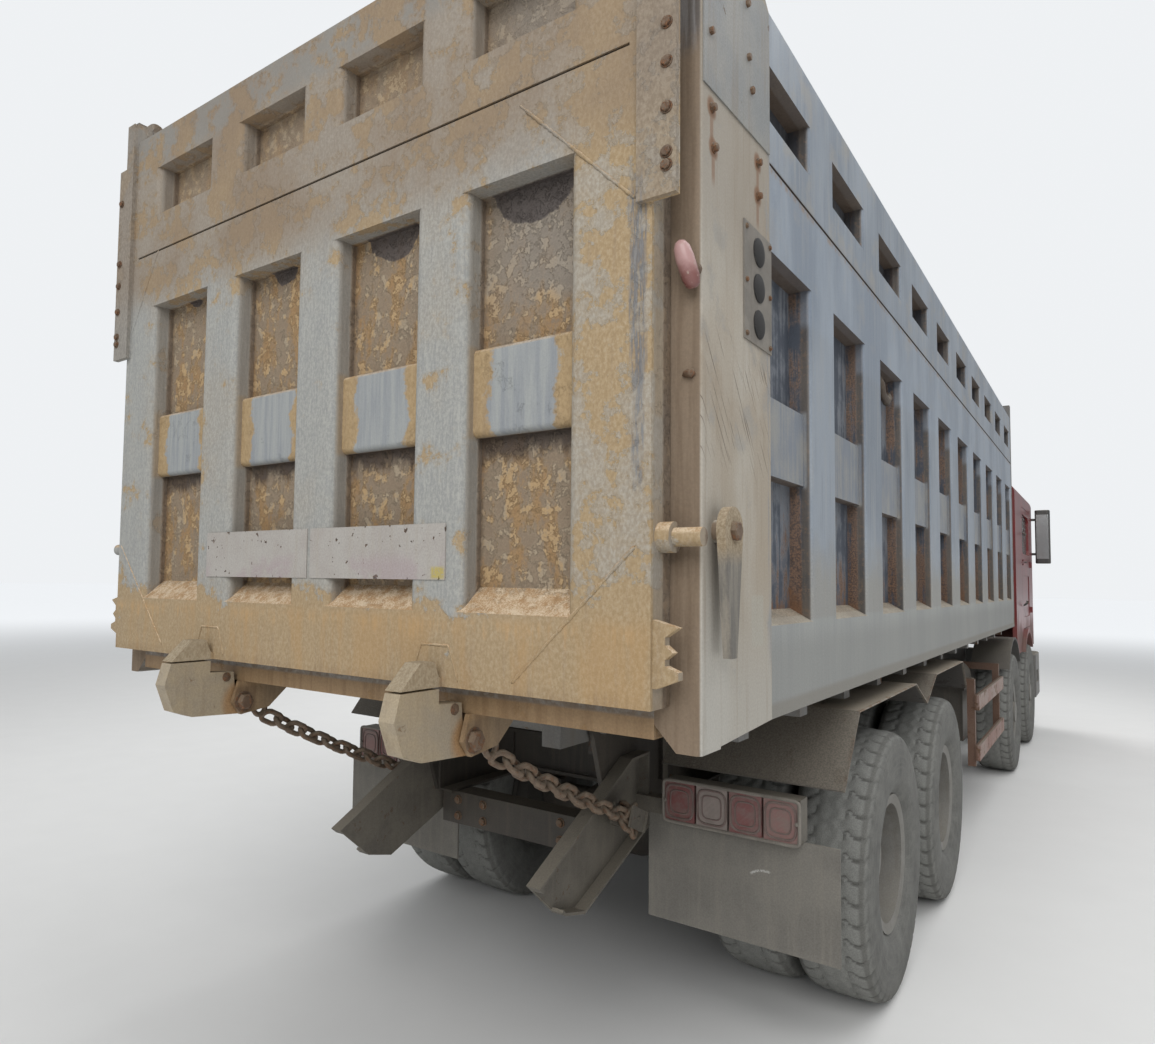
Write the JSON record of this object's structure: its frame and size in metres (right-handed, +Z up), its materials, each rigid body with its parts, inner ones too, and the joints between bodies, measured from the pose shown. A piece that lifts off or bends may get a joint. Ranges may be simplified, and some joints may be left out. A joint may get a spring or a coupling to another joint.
{
  "type": "dump truck",
  "caption": "Four-axle dump truck with a long ribbed tipping bed, top-hung tailgate, front telescopic hoist, tilting cab, steered front axles and twin rear wheels.",
  "frame": {"origin": "centre of the bounding box on the ground, midway between the rear hooks and the bumper", "axes": "+X forwards to the cab, +Y to the truck's left, +Z up"},
  "size_m": [11.14, 2.8, 3.67],
  "materials": {
    "chassis_black": "dusty black paint",
    "engine_iron": "greasy casting",
    "guard_plastic": "dull moulded plastic",
    "flap_rubber": "dusty rubber sheet",
    "lamp_lens": "dusty red lens",
    "cab_red": "worn red paint",
    "cab_trim": "dark trim and cloth",
    "clear_glass": "clear sheet glass",
    "bed_grey": "dusty blue-grey paint with rust",
    "rusty_steel": "rusty forged steel",
    "hoist_steel": "hard chromed and painted tube",
    "tyre_rubber": "dusty tread rubber",
    "rim_steel": "dusty grey paint"
  },
  "bodies": {
    "chassis": {"frame_rails": "chassis_black", "cross_members": "chassis_black", "leaf_springs": "chassis_black", "rear_axles": "chassis_black", "front_axles": "chassis_black", "engine_block": "engine_iron", "fuel_tank": "chassis_black", "batteries_and_air_tanks": "chassis_black", "side_guards": "chassis_black", "rear_mudguards": "guard_plastic", "front_mudguards": "guard_plastic", "underrun_arms": "chassis_black", "lamps": "lamp_lens", "mud_flaps": "flap_rubber", "front_bumper": "cab_red"},
    "bed": {"bed_floor": "bed_grey", "bed_left_side": "bed_grey", "bed_right_side": "bed_grey", "bed_headboard": "bed_grey"},
    "tailgate": {"tailgate": "bed_grey"},
    "lower_hooks": {"lower_hooks": "rusty_steel"},
    "hook_chains": {"hook_chains": "rusty_steel"},
    "hoist_tube": {"hoist_tube": "hoist_steel"},
    "cab": {"cab_shell": "cab_red", "cab_front_panel": "guard_plastic", "sun_visor": "guard_plastic", "cab_glass": "clear_glass", "cab_interior": "cab_trim", "mirrors": "guard_plastic"},
    "left_door": {"left_door": "cab_red", "left_door_glass": "clear_glass"},
    "right_door": {"right_door": "cab_red", "right_door_glass": "clear_glass"},
    "knuckle_1_left": {"knuckle_1_left": "chassis_black"},
    "front_wheel_1_left": {"front_tyre_1_left": "tyre_rubber", "front_rim_1_left": "rim_steel"},
    "knuckle_1_right": {"knuckle_1_right": "chassis_black"},
    "front_wheel_1_right": {"front_tyre_1_right": "tyre_rubber", "front_rim_1_right": "rim_steel"},
    "knuckle_2_left": {"knuckle_2_left": "chassis_black"},
    "front_wheel_2_left": {"front_tyre_2_left": "tyre_rubber", "front_rim_2_left": "rim_steel"},
    "knuckle_2_right": {"knuckle_2_right": "chassis_black"},
    "front_wheel_2_right": {"front_tyre_2_right": "tyre_rubber", "front_rim_2_right": "rim_steel"},
    "rear_wheels_1_left": {"rear_tyres_1_left": "tyre_rubber", "rear_rims_1_left": "rim_steel"},
    "rear_wheels_1_right": {"rear_tyres_1_right": "tyre_rubber", "rear_rims_1_right": "rim_steel"},
    "rear_wheels_2_left": {"rear_tyres_2_left": "tyre_rubber", "rear_rims_2_left": "rim_steel"},
    "rear_wheels_2_right": {"rear_tyres_2_right": "tyre_rubber", "rear_rims_2_right": "rim_steel"},
    "hoist_stage_1": {"hoist_stage_1": "hoist_steel"},
    "hoist_stage_2": {"hoist_stage_2": "hoist_steel"},
    "hoist_stage_3": {"hoist_stage_3": "hoist_steel"},
    "hoist_stage_4": {"hoist_stage_4": "hoist_steel"}
  },
  "joints": [
    {"name": "steer_1_left", "type": "hinge", "parent": "chassis", "child": "knuckle_1_left", "pos_m": [4.16, 0.86, 0.5625], "axis": [0, 0, 1], "range_deg": [-35, 35]},
    {"name": "roll_front_1_left", "type": "hinge", "parent": "knuckle_1_left", "child": "front_wheel_1_left", "pos_m": [4.16, 1.0875, 0.5625], "axis": [0, 1, 0], "continuous": true},
    {"name": "steer_1_right", "type": "hinge", "parent": "chassis", "child": "knuckle_1_right", "pos_m": [4.16, -0.86, 0.5625], "axis": [0, 0, 1], "range_deg": [-35, 35]},
    {"name": "roll_front_1_right", "type": "hinge", "parent": "knuckle_1_right", "child": "front_wheel_1_right", "pos_m": [4.16, -1.0875, 0.5625], "axis": [0, 1, 0], "continuous": true},
    {"name": "steer_2_left", "type": "hinge", "parent": "chassis", "child": "knuckle_2_left", "pos_m": [2.33, 0.86, 0.5625], "axis": [0, 0, 1], "range_deg": [-25, 25]},
    {"name": "roll_front_2_left", "type": "hinge", "parent": "knuckle_2_left", "child": "front_wheel_2_left", "pos_m": [2.33, 1.0875, 0.5625], "axis": [0, 1, 0], "continuous": true},
    {"name": "steer_2_right", "type": "hinge", "parent": "chassis", "child": "knuckle_2_right", "pos_m": [2.33, -0.86, 0.5625], "axis": [0, 0, 1], "range_deg": [-25, 25]},
    {"name": "roll_front_2_right", "type": "hinge", "parent": "knuckle_2_right", "child": "front_wheel_2_right", "pos_m": [2.33, -1.0875, 0.5625], "axis": [0, 1, 0], "continuous": true},
    {"name": "roll_rear_1_left", "type": "hinge", "parent": "chassis", "child": "rear_wheels_1_left", "pos_m": [-3.145, 0.915, 0.5625], "axis": [0, 1, 0], "continuous": true},
    {"name": "roll_rear_1_right", "type": "hinge", "parent": "chassis", "child": "rear_wheels_1_right", "pos_m": [-3.145, -0.915, 0.5625], "axis": [0, 1, 0], "continuous": true},
    {"name": "roll_rear_2_left", "type": "hinge", "parent": "chassis", "child": "rear_wheels_2_left", "pos_m": [-1.745, 0.915, 0.5625], "axis": [0, 1, 0], "continuous": true},
    {"name": "roll_rear_2_right", "type": "hinge", "parent": "chassis", "child": "rear_wheels_2_right", "pos_m": [-1.745, -0.915, 0.5625], "axis": [0, 1, 0], "continuous": true},
    {"name": "bed_tilt", "type": "hinge", "parent": "chassis", "child": "bed", "pos_m": [-4.335, 0, 1.22], "axis": [0, -1, 0], "range_deg": [0, 45]},
    {"name": "tailgate_swing", "type": "hinge", "parent": "bed", "child": "tailgate", "pos_m": [-5.315, 0, 3.62], "axis": [0, 1, 0], "range_deg": [0, 60]},
    {"name": "hook_release", "type": "hinge", "parent": "bed", "child": "lower_hooks", "pos_m": [-5.275, 0, 1.32], "axis": [0, -1, 0], "range_deg": [0, 45]},
    {"name": "chain_swing", "type": "hinge", "parent": "chassis", "child": "hook_chains", "pos_m": [-4.305, 0, 0.89], "axis": [0, -1, 0], "range_deg": [0, 63]},
    {"name": "hoist_swing", "type": "hinge", "parent": "chassis", "child": "hoist_tube", "pos_m": [2.765, 0, 0.74], "axis": [0, -1, 0], "range_deg": [0, 25.4]},
    {"name": "cab_tilt", "type": "hinge", "parent": "chassis", "child": "cab", "pos_m": [5.465, 0, 1], "axis": [0, 1, 0], "range_deg": [0, 50]},
    {"name": "left_door_swing", "type": "hinge", "parent": "cab", "child": "left_door", "pos_m": [4.902, 1.2123, 1.8], "axis": [0, 0, -1], "range_deg": [0, 70]},
    {"name": "right_door_swing", "type": "hinge", "parent": "cab", "child": "right_door", "pos_m": [4.902, -1.2123, 1.8], "axis": [0, 0, 1], "range_deg": [0, 70]},
    {"name": "hoist_stage_1_slide", "type": "slide", "parent": "hoist_tube", "child": "hoist_stage_1", "axis": [0, 0, 1], "range_m": [0, 1.3255]},
    {"name": "hoist_stage_2_slide", "type": "slide", "parent": "hoist_stage_1", "child": "hoist_stage_2", "axis": [0, 0, 1], "range_m": [0, 1.3255]},
    {"name": "hoist_stage_3_slide", "type": "slide", "parent": "hoist_stage_2", "child": "hoist_stage_3", "axis": [0, 0, 1], "range_m": [0, 1.3255]},
    {"name": "hoist_stage_4_slide", "type": "slide", "parent": "hoist_stage_3", "child": "hoist_stage_4", "axis": [0, 0, 1], "range_m": [0, 1.3255]}
  ],
  "couplings": [
    {"joint": "steer_1_right", "follows": "steer_1_left", "ratio": 1},
    {"joint": "steer_2_left", "follows": "steer_1_left", "ratio": 0.71429},
    {"joint": "steer_2_right", "follows": "steer_1_left", "ratio": 0.71429},
    {"joint": "hook_release", "follows": "bed_tilt", "ratio": 1},
    {"joint": "chain_swing", "follows": "bed_tilt", "ratio": 1.4},
    {"joint": "hoist_swing", "follows": "bed_tilt", "ratio": 0.5636},
    {"joint": "hoist_stage_1_slide", "follows": "bed_tilt", "m_per_rad": 1.687},
    {"joint": "hoist_stage_2_slide", "follows": "bed_tilt", "m_per_rad": 1.687},
    {"joint": "hoist_stage_3_slide", "follows": "bed_tilt", "m_per_rad": 1.687},
    {"joint": "hoist_stage_4_slide", "follows": "bed_tilt", "m_per_rad": 1.687}
  ]
}
